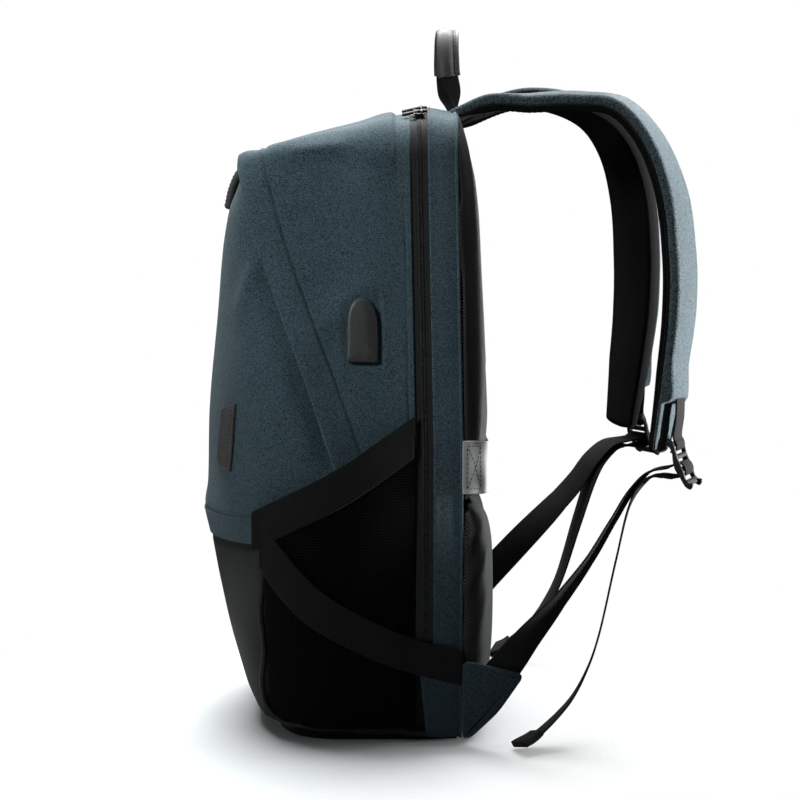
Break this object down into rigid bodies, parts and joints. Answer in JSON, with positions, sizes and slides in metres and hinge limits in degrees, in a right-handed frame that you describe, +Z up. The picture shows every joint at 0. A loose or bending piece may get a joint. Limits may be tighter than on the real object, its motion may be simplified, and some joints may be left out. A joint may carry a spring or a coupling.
{
  "type": "backpack",
  "caption": "Hollow day backpack with a hooded top over a front pocket, coated boot, arched zip, padded back, shoulder straps, side pockets and haul handle, standing on its base.",
  "frame": {"origin": "middle of the flat base, on the surface that the bag stands on", "axes": "+Z up the bag, -Y out of its front, +Y towards the wearer's back and +X the wearer's right"},
  "size_m": [0.3355, 0.3894, 0.5532],
  "materials": {
    "woven": "matte",
    "coated": "satin",
    "black_mesh": "matte",
    "webbing": "matte",
    "grey_band": "satin",
    "leather": "satin",
    "rubber": "matte",
    "plastic": "satin",
    "gunmetal": "satin"
  },
  "bodies": {
    "root": {"hood": "woven", "front_pocket": "woven", "boot": "coated", "zip_tape": "webbing", "gusset": "woven", "back_pad": "black_mesh", "lumbar_pad": "black_mesh", "luggage_band": "grey_band", "pocket_mesh_right": "black_mesh", "pocket_mesh_left": "black_mesh", "upper_elastic_right": "webbing", "upper_elastic_left": "webbing", "lower_elastic_right": "webbing", "lower_elastic_left": "webbing", "strap_pad_right": "woven", "strap_lining_right": "black_mesh", "strap_pad_left": "woven", "strap_lining_left": "black_mesh", "ladder_lock_right": "plastic", "ladder_lock_left": "plastic", "lock_tape_right": "webbing", "lock_tape_left": "webbing", "webbing_right": "webbing", "webbing_left": "webbing", "anchor_tab_right": "woven", "anchor_tab_left": "woven", "handle_webbing": "webbing", "handle_grip": "leather", "usb_cover": "rubber", "side_tab": "leather", "front_pull": "leather", "zip_slider_1": "gunmetal", "zip_pull_1": "gunmetal", "zip_slider_2": "gunmetal", "zip_pull_2": "gunmetal"}
  },
  "joints": []
}
